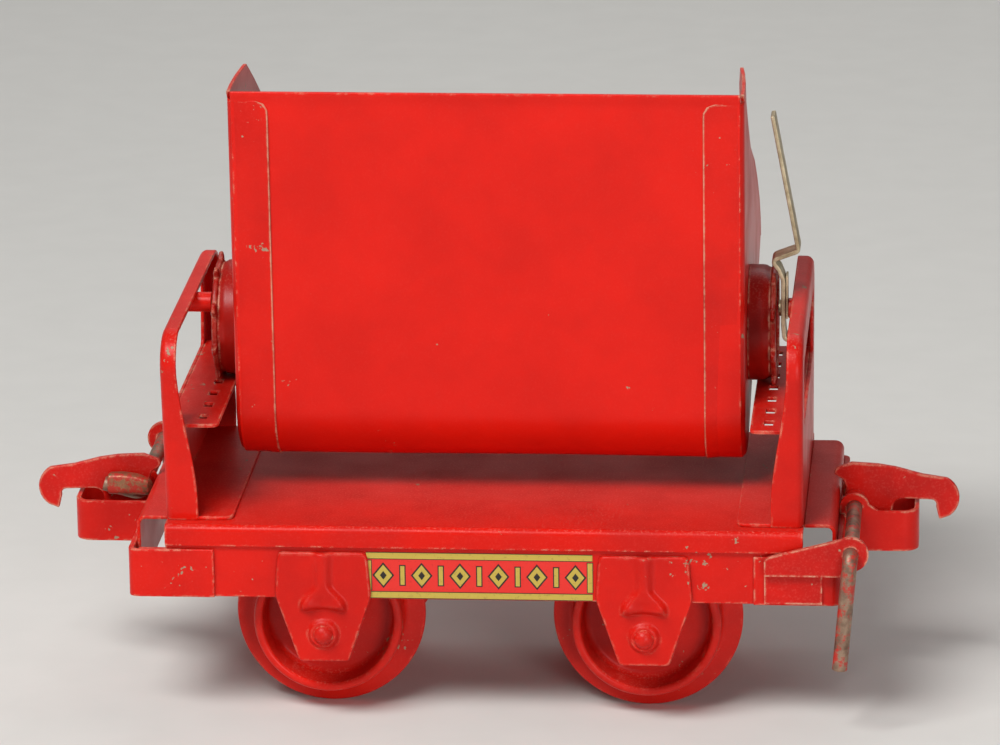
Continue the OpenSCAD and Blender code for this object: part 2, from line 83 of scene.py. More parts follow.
def add(tree, kind, settings=None, inputs=None):
    """Adds a node with its settings; each input is a number, a colour or a socket to link."""
    made = tree.nodes.new(kind)
    for key, value in (settings or {}).items():
        setattr(made, key, value)
    for key, value in (inputs or {}).items():
        if isinstance(value, bpy.types.NodeSocket):
            tree.links.new(value, made.inputs[key])
        else:
            made.inputs[key].default_value = value
    return made


def material(name):
    """A new material, its node tree and its surface shader."""
    made = bpy.data.materials.new(name)
    made.use_nodes = True
    return made, made.node_tree, made.node_tree.nodes["Principled BSDF"]


# Seamless paper: matt, even, with the faintest mottling of its fibres.
paper, tree, shader = material("studio_paper")
PAPER, PAPER_SHADE = srgb("#D9D7D2"), srgb("#D2D0CB")
place = add(tree, "ShaderNodeTexCoord").outputs["Object"]
fibre = add(tree, "ShaderNodeTexNoise", inputs={"Vector": place, "Scale": 60, "Detail": 4})
tint = add(tree, "ShaderNodeMix", {"data_type": "RGBA"},
           {0: fibre.outputs["Fac"], 6: PAPER, 7: PAPER_SHADE})
tree.links.new(tint.outputs[2], shader.inputs["Base Color"])
shader.inputs["Roughness"].default_value = 0.9

FLOOR_REACH, SWEEP_Y, SWEEP_R, SWEEP_TOP = 3.6, 2.2, 0.6, 3.2  # metres
SWEEP = [(-FLOOR_REACH, 0.0), (SWEEP_Y, 0.0)] + [
    (SWEEP_Y + SWEEP_R * math.sin(math.radians(a)), SWEEP_R - SWEEP_R * math.cos(math.radians(a)))
    for a in range(10, 91, 10)] + [(SWEEP_Y + SWEEP_R, SWEEP_TOP)]
floor = bpy.data.meshes.new("floor")
floor.from_pydata([(x, y, z) for y, z in SWEEP for x in (-FLOOR_REACH, FLOOR_REACH)], [],
                  [(2 * i, 2 * i + 1, 2 * i + 3, 2 * i + 2) for i in range(len(SWEEP) - 1)])
for face in floor.polygons:
    face.use_smooth = True
floor.materials.append(paper)
floor = bpy.data.objects.new("floor", floor)
scene.collection.objects.link(floor)

LAMP_AIM = Vector((0, 0, 0.08))  # the middle of the hopper
LAMPS = {  # place, width, height and watts
    "key": ((-0.55, -0.95, 1.45), 0.9, 0.6, 31),
    "front": ((0.75, -1.5, 0.32), 0.5, 0.4, 9),
    "back": ((0.2, 1.0, 1.1), 1.0, 0.6, 3.5),
}
for name, (spot, wide, high, watts) in LAMPS.items():
    lamp = bpy.data.lights.new(name, "AREA")
    lamp.shape, lamp.size, lamp.size_y, lamp.energy = "RECTANGLE", wide, high, watts
    lamp = bpy.data.objects.new(name, lamp)
    lamp.location = spot
    lamp.rotation_mode = "QUATERNION"
    lamp.rotation_quaternion = (Vector(spot) - LAMP_AIM).to_track_quat("Z", "Y")
    scene.collection.objects.link(lamp)

scene.world = bpy.data.worlds.new("room")
scene.world.use_nodes = True
scene.world.node_tree.nodes["Background"].inputs["Color"].default_value = srgb("#E6E8EC")
scene.world.node_tree.nodes["Background"].inputs["Strength"].default_value = 0.20
scene.view_settings.view_transform = "Standard"


# ---- Deck, sills, end strips and end shelves ----
# One flat deck with both long edges rolled down, plain strips for the sills,
# and at each end a shelf and a strip that wraps the corners. All are pressed
# from sheet steel and dipped in one coat of enamel.
DUST, PRIMER = "#F0A794", "#CC957B"
STAIN, STAIN_PALE = "#4A3229", "#B59479"  # old rust and bare metal in the chips


def baked_enamel(name, paint, shade, dust, chips, wear, gloss=0.2):
    """Baked enamel on pressed steel: a smooth hard coat with a faint orange peel,
    clouded by handling, chipped in places and rubbed through along its folds."""
    made, tree, shader = material(name)
    shader.inputs["Specular IOR Level"].default_value = gloss  # the old coat has lost some
    place = add(tree, "ShaderNodeTexCoord").outputs["Object"]
    normal = add(tree, "ShaderNodeNewGeometry").outputs["Normal"]
    # thumb marks and old polish, about 25 mm across
    cloud = add(tree, "ShaderNodeTexNoise", inputs={
        "Vector": place, "Scale": 1 / (25 * MM), "Detail": 4, "Roughness": 0.6})
    clouded = add(tree, "ShaderNodeMapRange", {}, {
        "Value": cloud.outputs["Fac"], "From Min": 0.38, "From Max": 0.66})
    coat = add(tree, "ShaderNodeMix", {"data_type": "RGBA"}, {
        0: clouded.outputs[0], 6: srgb(paint), 7: srgb(shade)})
    # dust lies as specks of about 0.5 mm on what faces up
    speck = add(tree, "ShaderNodeTexNoise", inputs={
        "Vector": place, "Scale": 1 / (0.55 * MM), "Detail": 1})
    specked = add(tree, "ShaderNodeMapRange", {}, {
        "Value": speck.outputs["Fac"], "From Min": 0.52, "From Max": 0.74})
    facing = add(tree, "ShaderNodeSeparateXYZ", inputs={0: normal})
    level = add(tree, "ShaderNodeMapRange", {}, {
        "Value": facing.outputs["Z"], "From Min": 0.3, "From Max": 0.95,
        "To Min": 0.1 * dust, "To Max": dust})
    dusted = add(tree, "ShaderNodeMath", {"operation": "MULTIPLY"}, {
        0: specked.outputs[0], 1: level.outputs[0]})
    powdered = add(tree, "ShaderNodeMix", {"data_type": "RGBA"}, {
        0: dusted.outputs[0], 6: coat.outputs[2], 7: srgb(DUST)})
    # chips of 1 to 3 mm, gathered in patches some 20 mm apart
    patch = add(tree, "ShaderNodeTexNoise", inputs={
        "Vector": place, "Scale": 1 / (19 * MM), "Detail": 1})
    flake = add(tree, "ShaderNodeTexNoise", inputs={
        "Vector": place, "Scale": 1 / (2.2 * MM), "Detail": 3, "Roughness": 0.65})
    gathered = add(tree, "ShaderNodeMath", {"operation": "MULTIPLY_ADD"}, {
        0: patch.outputs["Fac"], 1: 0.55, 2: flake.outputs["Fac"]})
    chipped = add(tree, "ShaderNodeMapRange", {}, {
        "Value": gathered.outputs[0], "From Min": 1.075 - 0.06 * chips,
        "From Max": 1.09 - 0.06 * chips})
    # folds rubbed through: where a rounded normal leaves the true one
    rounded = add(tree, "ShaderNodeBevel", {"samples": 6}, {"Radius": 1.0 * MM})
    agree = add(tree, "ShaderNodeVectorMath", {"operation": "DOT_PRODUCT"}, {
        0: rounded.outputs[0], 1: normal})
    edge = add(tree, "ShaderNodeMapRange", {}, {
        "Value": agree.outputs["Value"], "From Min": 0.992, "From Max": 0.94})
    scuff = add(tree, "ShaderNodeTexNoise", inputs={
        "Vector": place, "Scale": 1 / (3.4 * MM), "Detail": 5, "Roughness": 0.75})
    scuffed = add(tree, "ShaderNodeMapRange", {}, {
        "Value": scuff.outputs["Fac"], "From Min": 0.60 - 0.09 * wear,
        "From Max": 0.70 - 0.07 * wear})
    rubbed = add(tree, "ShaderNodeMath", {"operation": "MULTIPLY"}, {
        0: edge.outputs[0], 1: scuffed.outputs[0]})
    bare = add(tree, "ShaderNodeMath", {"operation": "MAXIMUM"}, {
        0: rubbed.outputs[0], 1: chipped.outputs[0]})
    stained = add(tree, "ShaderNodeMix", {"data_type": "RGBA"}, {
        0: flake.outputs["Fac"], 6: srgb(STAIN), 7: srgb(STAIN_PALE)})
    flaked = add(tree, "ShaderNodeMix", {"data_type": "RGBA"}, {
        0: chipped.outputs[0], 6: powdered.outputs[2], 7: stained.outputs[2]})
    skin = add(tree, "ShaderNodeMix", {"data_type": "RGBA"}, {
        0: rubbed.outputs[0], 6: flaked.outputs[2], 7: srgb(PRIMER)})
    tree.links.new(skin.outputs[2], shader.inputs["Base Color"])
    # polished where it is whole, dull where dusty or bare
    dull = add(tree, "ShaderNodeMapRange", {}, {
        "Value": clouded.outputs[0], "To Min": 0.30, "To Max": 0.42})
    duller = add(tree, "ShaderNodeMath", {"operation": "MULTIPLY_ADD", "use_clamp": True}, {
        0: dusted.outputs[0], 1: 0.35, 2: dull.outputs[0]})
    finish = add(tree, "ShaderNodeMix", {}, {0: bare.outputs[0], 2: duller.outputs[0], 3: 0.62})
    tree.links.new(finish.outputs[0], shader.inputs["Roughness"])
    # orange peel about 1.2 mm across, and the step down into a chip
    peel = add(tree, "ShaderNodeTexNoise", inputs={
        "Vector": place, "Scale": 1 / (1.2 * MM), "Detail": 2})
    relief = add(tree, "ShaderNodeMath", {"operation": "MULTIPLY_ADD"}, {
        0: bare.outputs[0], 1: -1.6, 2: peel.outputs["Fac"]})
    bump = add(tree, "ShaderNodeBump", inputs={
        "Strength": 0.22, "Distance": 0.06 * MM, "Height": relief.outputs[0]})
    tree.links.new(bump.outputs[0], shader.inputs["Normal"])
    return made


# the deck holds most dust, the frames are most chipped and the hopper is cleanest
ENAMEL, ENAMEL_SHADE = "#D0170A", "#BC1208"
deck_enamel = baked_enamel("baked_enamel_dusty", ENAMEL, "#BE1810", 0.22, 0.4, 1.0, 0.15)
frame_enamel = baked_enamel("baked_enamel_worn", ENAMEL, ENAMEL_SHADE, 0.16, 1.25, 1.4)
panel_enamel = baked_enamel("baked_enamel_clean", "#D4170A", "#C81408", 0.16, 0.2, 0.8)


def dress(names, coat, edge):
    """Gives CAD nodes their finish and softens their cut edges by a small radius in mm."""
    for name in names:
        piece = nodes[name]
        piece.data.materials.clear()
        piece.data.materials.append(coat)
        for face in piece.data.polygons:
            face.use_smooth = True
        soften(piece, edge, weld=True)


def soften(piece, edge, weld=False):
    """Rounds a piece's sharp edges as tumbling and paint do, and keeps its flats flat."""
    if weld:
        piece.modifiers.new("weld", "WELD").merge_threshold = 0.004 * MM
        flats = piece.modifiers.new("flats", "DECIMATE")
        flats.decimate_type, flats.angle_limit = "DISSOLVE", math.radians(0.4)
    bevel = piece.modifiers.new("edges", "BEVEL")
    bevel.width, bevel.segments = edge * MM, 2
    bevel.limit_method, bevel.angle_limit = "ANGLE", math.radians(32)
    bevel.use_clamp_overlap = True
    piece.modifiers.new("normals", "WEIGHTED_NORMAL").keep_sharp = False


dress(["deck"], deck_enamel, 0.2)
dress(["sill_front", "sill_rear"], frame_enamel, 0.2)
dress(["end_strip_left", "end_strip_right"], frame_enamel, 0.3)
dress(["end_shelf_left", "end_shelf_right"], deck_enamel, 0.3)


# ---- Printed band on the front sill ----
# A transfer in gold and black on the red: two gold rules and, between them, a
# row of plain lozenges and bars. It is a film of lacquer, thinner than the paint.
def printed_film(name, ink, worn):
    """Lacquer ink, semi-gloss and rubbed thin in fine specks."""
    made, tree, shader = material(name)
    place = add(tree, "ShaderNodeTexCoord").outputs["Object"]
    rub = add(tree, "ShaderNodeTexNoise", inputs={
        "Vector": place, "Scale": 1 / (1.1 * MM), "Detail": 4, "Roughness": 0.7})
    thin = add(tree, "ShaderNodeMapRange", {}, {
        "Value": rub.outputs["Fac"], "From Min": 0.56, "From Max": 0.74, "To Max": 0.8})
    colour = add(tree, "ShaderNodeMix", {"data_type": "RGBA"}, {
        0: thin.outputs[0], 6: srgb(ink), 7: srgb(worn)})
    tree.links.new(colour.outputs[2], shader.inputs["Base Color"])
    shader.inputs["Roughness"].default_value = 0.42
    return made


def piece_of(name, verts, faces, coats, body, picks=None, smooth=False):
    """A piece from points in mm, riding on a body."""
    mesh = bpy.data.meshes.new(name)
    mesh.from_pydata([Vector(v) * MM for v in verts], [], faces)
    for coat in coats:
        mesh.materials.append(coat)
    for i, face in enumerate(mesh.polygons):
        face.use_smooth = smooth
        face.material_index = picks[i] if picks else 0
    made = bpy.data.objects.new(name, mesh)
    scene.collection.objects.link(made)
    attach(made, body)
    return made


gold_ink = printed_film("gold_lacquer_ink", "#B9A040", "#7D6A2E")
black_ink = printed_film("black_lacquer_ink", "#1B1512", "#5A1A12")
red_ink = printed_film("red_lacquer_ink", "#D8241A", "#B81B12")

# sizes in mm
BAND_X0, BAND_X1 = -31.0, 29.0
BAND_LOW, BAND_HIGH = 0.4, 12.9  # above the sill's lower edge
RULE, END_RULE, OUTLINE = 1.6, 1.3, 0.2
MOTIFS, PITCH = 11, 5.1
BAND_PROUD = 0.05  # mm between layers, so that each ink lies on the one before
sill_low, sill_high = (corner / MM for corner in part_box("sill_front"))
band_face = sill_low[1]
band_z0, band_z1 = sill_low[2] + BAND_LOW, sill_low[2] + BAND_HIGH
verts, faces, picks = [], [], []


def print_shape(points, layer, ink):
    """Prints one flat shape of (x, z) points on the sill."""
    start = len(verts)
    verts.extend((x, band_face - BAND_PROUD * layer, z) for x, z in points)
    faces.append(tuple(range(start, start + len(points))))
    picks.append(ink)


def bar(x0, x1, z0, z1):
    return [(x0, z0), (x1, z0), (x1, z1), (x0, z1)]


def lozenge(x, z, wide, high):
    return [(x - wide, z), (x, z - high), (x + wide, z), (x, z + high)]


print_shape(bar(BAND_X0, BAND_X1, band_z0, band_z1), 1, 2)
for z0, z1 in ((band_z0, band_z0 + RULE), (band_z1 - RULE, band_z1)):
    print_shape(bar(BAND_X0, BAND_X1, z0 - OUTLINE, z1 + OUTLINE), 2, 1)
    print_shape(bar(BAND_X0, BAND_X1, z0, z1), 3, 0)
for x0, x1 in ((BAND_X0, BAND_X0 + END_RULE), (BAND_X1 - END_RULE, BAND_X1)):
    print_shape(bar(x0 - OUTLINE, x1 + OUTLINE, band_z0 + 2.0, band_z1 - 2.0), 2, 1)
    print_shape(bar(x0, x1, band_z0 + 2.2, band_z1 - 2.2), 3, 0)
band_z = (band_z0 + band_z1) / 2
for i in range(MOTIFS):
    x = (BAND_X0 + BAND_X1) / 2 + (i - MOTIFS // 2) * PITCH
    if i % 2:
        print_shape(bar(x - 0.85, x + 0.85, band_z - 2.9, band_z + 2.9), 2, 1)
        print_shape(bar(x - 0.55, x + 0.55, band_z - 2.6, band_z + 2.6), 3, 0)
    else:
        print_shape(lozenge(x, band_z, 2.9, 3.6), 2, 1)
        print_shape(lozenge(x, band_z, 2.35, 2.95), 3, 0)
        print_shape(lozenge(x, band_z, 0.9, 1.2), 4, 1)
band = piece_of("printed_band", verts, faces, [gold_ink, black_ink, red_ink], "chassis", picks)


# ---- Axle guards ----
# Four pressed plates spot-welded to the sills. Each has an inverted Y pressed
# out of it, soft at its shoulders, and a round boss where the axle comes out.
def smooth_step(low, high, value):
    t = min(max((value - low) / (high - low), 0.0), 1.0)
    return t * t * (3 - 2 * t)


AXLE_Z = 25.4
GUARD_RAYS, GUARD_RINGS = 144, 54
GUARD_T, GUARD_BORE = 1.2, 2.05  # thickness and hole radius, mm
GUARD_EDGE, GUARD_CORNER = 0.5, 1.4  # radius of the plate's own edge and of its corners, mm


def guard_relief(x, z):
    """Height of the pressing above the plate at (x, z), measured from the axle's centre."""
    out = math.hypot(x, z)
    half = 2.2 + 4.1 * smooth_step(14.0, 8.0, z)
    sole = 6.2 + 0.6 * max(1 - (x / 5) ** 2, 0)
    hollow = 0.6 * math.exp(-x * x / 4 - (z - 8.6) ** 2 / 6)
    rib = (1.5 - hollow) * smooth_step(-0.3, 1.3, min(half - abs(x), z - sole))
    foot = 0.5 * math.exp(-((abs(x) - 4.2) ** 2 + (z - 8.4) ** 2) / 2.2) * min(rib, 1)
    boss = 1.2 * smooth_step(4.5, 3.1, out)
    return max(rib + foot, boss)


def guard_mesh(centre_x, top, half, low, side):
    """Front skin, back and rim of one guard as rings round its axle."""
    outline = []
    r = GUARD_CORNER
    for cx, cz, a0, a1 in ((half - 2.2, top - r, 0, 90), (-half + 2.2, top - r, 90, 180)):
        outline += [(cx + r * math.cos(math.radians(a)), cz + r * math.sin(math.radians(a)))
                    for a in range(a0, a1 + 1, 15)]
    outline += [(-half, top - 11.4), (-half + 0.4, top - 13.4)]
    foot = half * 0.55
    for cx, a0, a1 in ((-foot + r, 200, 270), (foot - r, 270, 340)):
        outline += [(cx + r * math.cos(math.radians(a)), low + r + r * math.sin(math.radians(a)))
                    for a in range(a0, a1 + 1, 14)]
    outline += [(half - 0.4, top - 13.4), (half, top - 11.4)]
    reach = []
    for i in range(GUARD_RAYS):
        a = 2 * math.pi * i / GUARD_RAYS
        ray = (math.cos(a), math.sin(a))
        best = None
        for (x0, z0), (x1, z1) in zip(outline, outline[1:] + outline[:1]):
            z0, z1 = z0 - AXLE_Z, z1 - AXLE_Z
            cross = ray[0] * (z1 - z0) - ray[1] * (x1 - x0)
            if abs(cross) > 1e-9:
                far = (x0 * (z1 - z0) - z0 * (x1 - x0)) / cross
                along = (x0 * ray[1] - z0 * ray[0]) / cross
                if far > 0 and -1e-6 <= along <= 1 + 1e-6:
                    best = far
        reach.append(best)
    points, skin = [], []
    plate = abs(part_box("sill_front")[0][1]) / MM
    for ring in range(GUARD_RINGS + 2):
        for i in range(GUARD_RAYS):
            a = 2 * math.pi * i / GUARD_RAYS
            share = min(ring / (GUARD_RINGS - 1), 1.0)
            out = GUARD_BORE + (reach[i] - GUARD_BORE) * share
            x, z = out * math.cos(a), out * math.sin(a)
            near = max(reach[i] - out, 0.0)
            drop = 0.0
            if near < GUARD_EDGE:
                drop = GUARD_EDGE - math.sqrt(GUARD_EDGE ** 2 - (GUARD_EDGE - near) ** 2)
            y = plate + GUARD_T + guard_relief(x, z) - drop
            if ring >= GUARD_RINGS:
                y = plate + 0.01
                if ring == GUARD_RINGS + 1:
                    x, z = GUARD_BORE * math.cos(a), GUARD_BORE * math.sin(a)
            points.append((centre_x + x, side * y, AXLE_Z + z))
    for ring in range(GUARD_RINGS + 1):
        for i in range(GUARD_RAYS):
            j = (i + 1) % GUARD_RAYS
            quad = (ring * GUARD_RAYS + i, ring * GUARD_RAYS + j,
                    (ring + 1) * GUARD_RAYS + j, (ring + 1) * GUARD_RAYS + i)
            skin.append(quad if side < 0 else quad[::-1])
    return points, skin


for side, row in ((-1, "front"), (1, "rear")):
    for end in ("left", "right"):
        low, high = (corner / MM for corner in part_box(f"guard_{row}_{end}"))
        points, skin = guard_mesh((low[0] + high[0]) / 2, high[2], (high[0] - low[0]) / 2,
                                  low[2], side)
        guard = piece_of(f"axle_guard_{row}_{end}", points, skin, [frame_enamel], "chassis",
                         smooth=True)
        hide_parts(f"guard_{row}_{end}")


# ---- Wheels and axles ----
# Pressed wheels with a thin flange, a plain tread, a rolled rim and a deep dish
# round the hub. They sit tight on plain steel axles with domed ends.
def rounded(points, radii, steps=6):
    """An open path with a fillet at each inner point."""
    path = [Vector(points[0])]
    for before, at, after, r in zip(points, points[1:], points[2:], radii):
        before, at, after = Vector(before), Vector(at), Vector(after)
        a, b = (before - at).normalized(), (after - at).normalized()
        half = a.angle(b) / 2
        cut = min(r / math.tan(half), (before - at).length * 0.49, (after - at).length * 0.49)
        centre = at + (a + b).normalized() * (cut / math.cos(half))
        p, q = at + a * cut - centre, at + b * cut - centre
        sweep = p.angle_signed(q)
        for i in range(steps + 1):
            spin = -sweep * i / steps
            path.append(centre + Vector((p.x * math.cos(spin) - p.y * math.sin(spin),
                                         p.x * math.sin(spin) + p.y * math.cos(spin))))
    path.append(Vector(points[-1]))
    return path


WHEEL_SPOKES = 120
FLANGE_HIGH, WHEEL_WIDE, DISH_X = 5.5, 10.6, 2.6  # mm, the last two from the flange's face
HUB_R, BORE_R = 5.0, 2.0
# the same enamel, dulled and dusted on the parts that turn
wheel_enamel = baked_enamel("baked_enamel_wheel", "#D41B10", "#B8150C", 0.25, 0.8, 0.9)


def lathe(path, centre, side):
    """Turns a path of (radius, distance from the car's middle) about an axle."""
    points = [(centre[0] + p[0] * math.cos(2 * math.pi * i / WHEEL_SPOKES), side * p[1],
               centre[1] + p[0] * math.sin(2 * math.pi * i / WHEEL_SPOKES))
              for p in path for i in range(WHEEL_SPOKES)]
    skin = []
    for ring in range(len(path) - 1):
        for i in range(WHEEL_SPOKES):
            j = (i + 1) % WHEEL_SPOKES
            quad = (ring * WHEEL_SPOKES + i, ring * WHEEL_SPOKES + j,
                    (ring + 1) * WHEEL_SPOKES + j, (ring + 1) * WHEEL_SPOKES + i)
            skin.append(quad if side > 0 else quad[::-1])
    return points, skin


for side, row in ((-1, "front"), (1, "rear")):
    for end in ("left", "right"):
        low, high = (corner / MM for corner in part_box(f"wheel_{row}_{end}"))
        centre = ((low[0] + high[0]) / 2, (low[2] + high[2]) / 2)
        flange = (high[0] - low[0]) / 2
        inner, outer = sorted((abs(low[1]), abs(high[1])))
        tread, face, dish = flange - FLANGE_HIGH, inner + WHEEL_WIDE, inner + DISH_X
        profile = rounded(
            [(BORE_R, inner), (flange, inner), (flange, inner + 1.2), (tread, inner + 2.0),
             (tread, face), (tread - 2.3, face), (tread - 2.9, dish), (HUB_R + 1.5, dish),
             (HUB_R, inner + 4.4), (HUB_R, outer), (BORE_R, outer)],
            [0.58, 0.58, 2.0, 1.1, 1.0, 1.8, 1.2, 1.2, 0.6])
        points, skin = lathe([tuple(p) for p in profile], centre, side)
        wheel = piece_of(f"pressed_wheel_{row}_{end}", points, skin, [wheel_enamel],
                         f"wheelset_{end}", smooth=True)
        wheel.modifiers.new("normals", "WEIGHTED_NORMAL")
        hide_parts(f"wheel_{row}_{end}")

dress(["axle_left", "axle_right"], wheel_enamel, 0.2)


# ---- End frames ----
# Each is one pressing: a web with an open window, and a flange bent inward round
# both legs and the top, narrow above and broad at the feet. A foot lies on the deck.
PLATE_T, FOLD_STEPS = 0.98, 8


def flanged_plate(name, path, outward, width_at, face_x, fold, cells, coats, body, sign,
                  place=Vector, bend=None, flare=0.0):
    """A plate with its edge folded towards the car's middle along a (y, z) path.
    width_at gives the flange's width at each path point. The web is made of cells, each
    a ring of path indices and (y, z) points. place moves a point to where it lies, bend
    pushes the web inward and flare lifts the flange's free edge off what it wraps."""
    points, skin, picks = [], [], []

    def spot(x, p):
        q = place(p)
        points.append((sign * x, q[0], q[1]))
        return len(points) - 1

    layers = []
    for depth in (0, PLATE_T):
        rows = []
        for i, (point, way) in enumerate(zip(path, outward)):
            wide = width_at(i)
            row = [spot(face_x - wide, point + way * (flare - depth)),
                   spot(face_x - wide + 0.4, point + way * (flare * 0.85 - depth)),
                   spot(face_x - (wide + fold) / 2, point - way * depth)]
            for k in range(FOLD_STEPS + 1):
                a = math.radians(90 * k / FOLD_STEPS)
                row.append(spot(face_x - fold + (fold - depth) * math.sin(a),
                                point - way * (fold - (fold - depth) * math.cos(a))))
            rows.append(row)
        layers.append(rows)
    outer, inner = layers
    last = len(outer[0]) - 1
    for i in range(len(path) - 1):
        for k in range(last):
            skin.append((outer[i][k], outer[i][k + 1], outer[i + 1][k + 1], outer[i + 1][k]))
            skin.append((inner[i][k], inner[i + 1][k], inner[i + 1][k + 1], inner[i][k + 1]))
            picks += [int(k == 0), 0]
        skin.append((outer[i][0], outer[i + 1][0], inner[i + 1][0], inner[i][0]))
        picks.append(1)
    for i in (0, len(path) - 1):
        for k in range(last):
            skin.append((outer[i][k], inner[i][k], inner[i][k + 1], outer[i][k + 1]))
            picks.append(0)
    web = {}

    def corner(at, layer):
        if isinstance(at, int):
            return layers[layer][at][last]
        if (at, layer) not in web:
            web[at, layer] = spot(face_x - layer * PLATE_T - (bend(*at) if bend else 0), at)
        return web[at, layer]

    sides = {}
    for cell in cells:
        skin += [tuple(corner(at, 0) for at in cell), tuple(corner(at, 1) for at in reversed(cell))]
        for one, two in zip(cell, cell[1:] + cell[:1]):
            sides.setdefault(frozenset((one, two)), []).append((one, two))
    for (one, two), *more in sides.values():
        folded = isinstance(one, int) and isinstance(two, int) and abs(one - two) == 1
        if not more and not folded:
            skin.append((corner(one, 0), corner(two, 0), corner(two, 1), corner(one, 1)))
    picks += [0] * (len(skin) - len(picks))
    plate = piece_of(name, points, skin, coats, body, [min(k, len(coats) - 1) for k in picks],
                     smooth=True)
    closed = bmesh.new()
    closed.from_mesh(plate.data)
    bmesh.ops.recalc_face_normals(closed, faces=closed.faces)
    closed.to_mesh(plate.data)
    closed.free()
    soften(plate, 0.28)
    return plate


FRAME_FOOT, FRAME_TOP, FRAME_RISE = 41.5, 48.5, 52.3  # half widths and height, mm
RIM_NARROW, RIM_SPREAD, FRAME_WEB = 4.4, 4.2, 9.2
CORNER, CORNER_STEPS, LEG_STEPS, LEG_SHARE = 9.5, 8, 14, 0.76
CLEAR = 0.02  # mm between a drawn piece and the one that it lies on
frame_low, frame_high = (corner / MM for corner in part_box("end_frame_right"))
deck_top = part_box("deck")[1][2] / MM
slope = (FRAME_TOP - FRAME_FOOT) / FRAME_RISE
lean = math.atan(slope)
corner_y = (FRAME_FOOT + slope * (frame_high[2] - CORNER - deck_top)
            - CORNER * math.sqrt(1 + slope * slope))
half_path = [Vector((FRAME_FOOT + slope * FRAME_RISE * t, deck_top + CLEAR + FRAME_RISE * t))
             for t in [k / LEG_STEPS * LEG_SHARE for k in range(LEG_STEPS + 1)]]
half_way = [Vector((math.cos(lean), -math.sin(lean)))] * len(half_path)
for k in range(CORNER_STEPS + 1):
    a = -lean + (math.pi / 2 + lean) * k / CORNER_STEPS
    half_way.append(Vector((math.cos(a), math.sin(a))))
    half_path.append(Vector((corner_y, frame_high[2] - CORNER)) + CORNER * half_way[-1])
mirror = Vector((-1, 1))
frame_path = half_path + [Vector((0, frame_high[2]))] + [p * mirror for p in reversed(half_path)]
frame_way = half_way + [Vector((0, 1))] + [w * mirror for w in reversed(half_way)]


def rim_width(i):
    """The flange is narrow on top and spreads towards the feet."""
    t = (frame_path[i].y - deck_top) / FRAME_RISE
    return RIM_NARROW + RIM_SPREAD * (1 - smooth_step(0.1, 0.85, t))


rack_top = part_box("rack_right")[1][2] / MM
window_top = frame_high[2] - 8.3
window = []
for z, y, a0 in ((rack_top + 2, None, -90), (window_top - 2.4, None, 0)):
    edge_y = FRAME_FOOT + slope * (z - deck_top) - FRAME_WEB
    r = 2 if a0 < 0 else 2.4
    window += [(edge_y - r + r * math.cos(math.radians(a)), z + r * math.sin(math.radians(a)))
               for a in range(a0, a0 + 91, 15)]
middle = len(half_path)
top_mid, low_mid, foot_mid = (0, window_top), (0, rack_top), (0, deck_top + CLEAR)
window_far = [(-y, z) for y, z in window]
halves = [[*range(middle + 1), top_mid, *reversed(window), low_mid, foot_mid],
          [*range(middle, len(frame_path)), foot_mid, low_mid, *window_far, top_mid]]
for end, sign in (("left", -1), ("right", 1)):
    plate = flanged_plate(f"end_frame_pressing_{end}", frame_path, frame_way, rim_width,
                          frame_high[0], 2.0, halves, [frame_enamel], "chassis", sign)
    foot_x0, foot_x1 = frame_low[0], frame_high[0] - 0.8
    foot = [(foot_x1, FRAME_FOOT - 0.3), (foot_x0, FRAME_FOOT - 0.3), (foot_x0, 0.3 - FRAME_FOOT),
            (foot_x1, 0.3 - FRAME_FOOT)]
    foot = [tuple(p) for p in rounded(foot, [2.5, 2.5], 5)]
    count = len(foot)
    points = [(sign * x, y, z) for z in (deck_top + CLEAR, deck_top + 1.0) for x, y in foot]
    skin = [tuple(range(count, 2 * count)), tuple(reversed(range(count)))] + [
        (i, (i + 1) % count, count + (i + 1) % count, count + i) for i in range(count)]
    if sign > 0:
        skin = [face[::-1] for face in skin]
    foot = piece_of(f"end_frame_foot_{end}", points, skin, [deck_enamel], "chassis", smooth=True)
    soften(foot, 0.3)
    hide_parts(f"end_frame_{end}")

dress(["rack_left", "rack_right"], frame_enamel, 0.2)
dress(["stop_stud_left", "stop_stud_right"], frame_enamel, 0.25)


# ---- Couplers ----
# Hook plates, pockets and brackets cut and bent from strip, all painted and
# much handled. The lift rods are bare round steel with some red on them.
hook_enamel = baked_enamel("baked_enamel_handled", "#C9160D", "#A5130C", 0.5, 1.35, 1.8)
dress(["hook_left", "hook_right"], hook_enamel, 0.45)
dress(["pocket_left", "pocket_right"], frame_enamel, 0.35)
dress(["bracket_left", "bracket_right"], hook_enamel, 0.3)
dress(["sleeve_left", "sleeve_right"], frame_enamel, 0.3)


